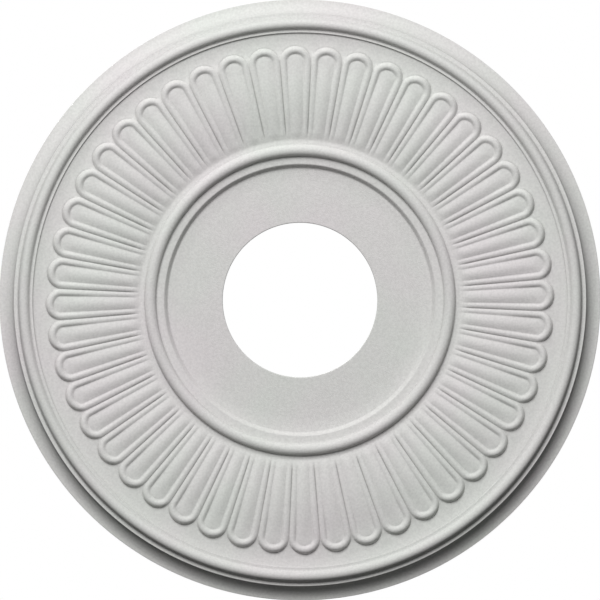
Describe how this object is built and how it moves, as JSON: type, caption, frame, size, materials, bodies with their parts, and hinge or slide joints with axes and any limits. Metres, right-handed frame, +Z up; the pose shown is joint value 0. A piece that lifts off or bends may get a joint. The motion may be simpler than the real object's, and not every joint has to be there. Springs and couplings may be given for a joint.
{
  "type": "ceiling rose",
  "caption": "Round cast ceiling rose with a beaded rim, a ring of round-headed flutes, an inner beaded ring and a flat plate round a central hole.",
  "frame": {"origin": "centre of the flat back face, on the ceiling plane and on the hole's axis", "axes": "+Z points up into the ceiling, square to the back; a flute's middle lies on +X and on +Y; the ornament faces -Z"},
  "size_m": [0.3999, 0.4, 0.019],
  "materials": {
    "primed_casting": "factory-primed matte off-white over rigid polyurethane foam"
  },
  "bodies": {
    "root": {"ceiling_rose": "primed_casting"}
  },
  "joints": []
}
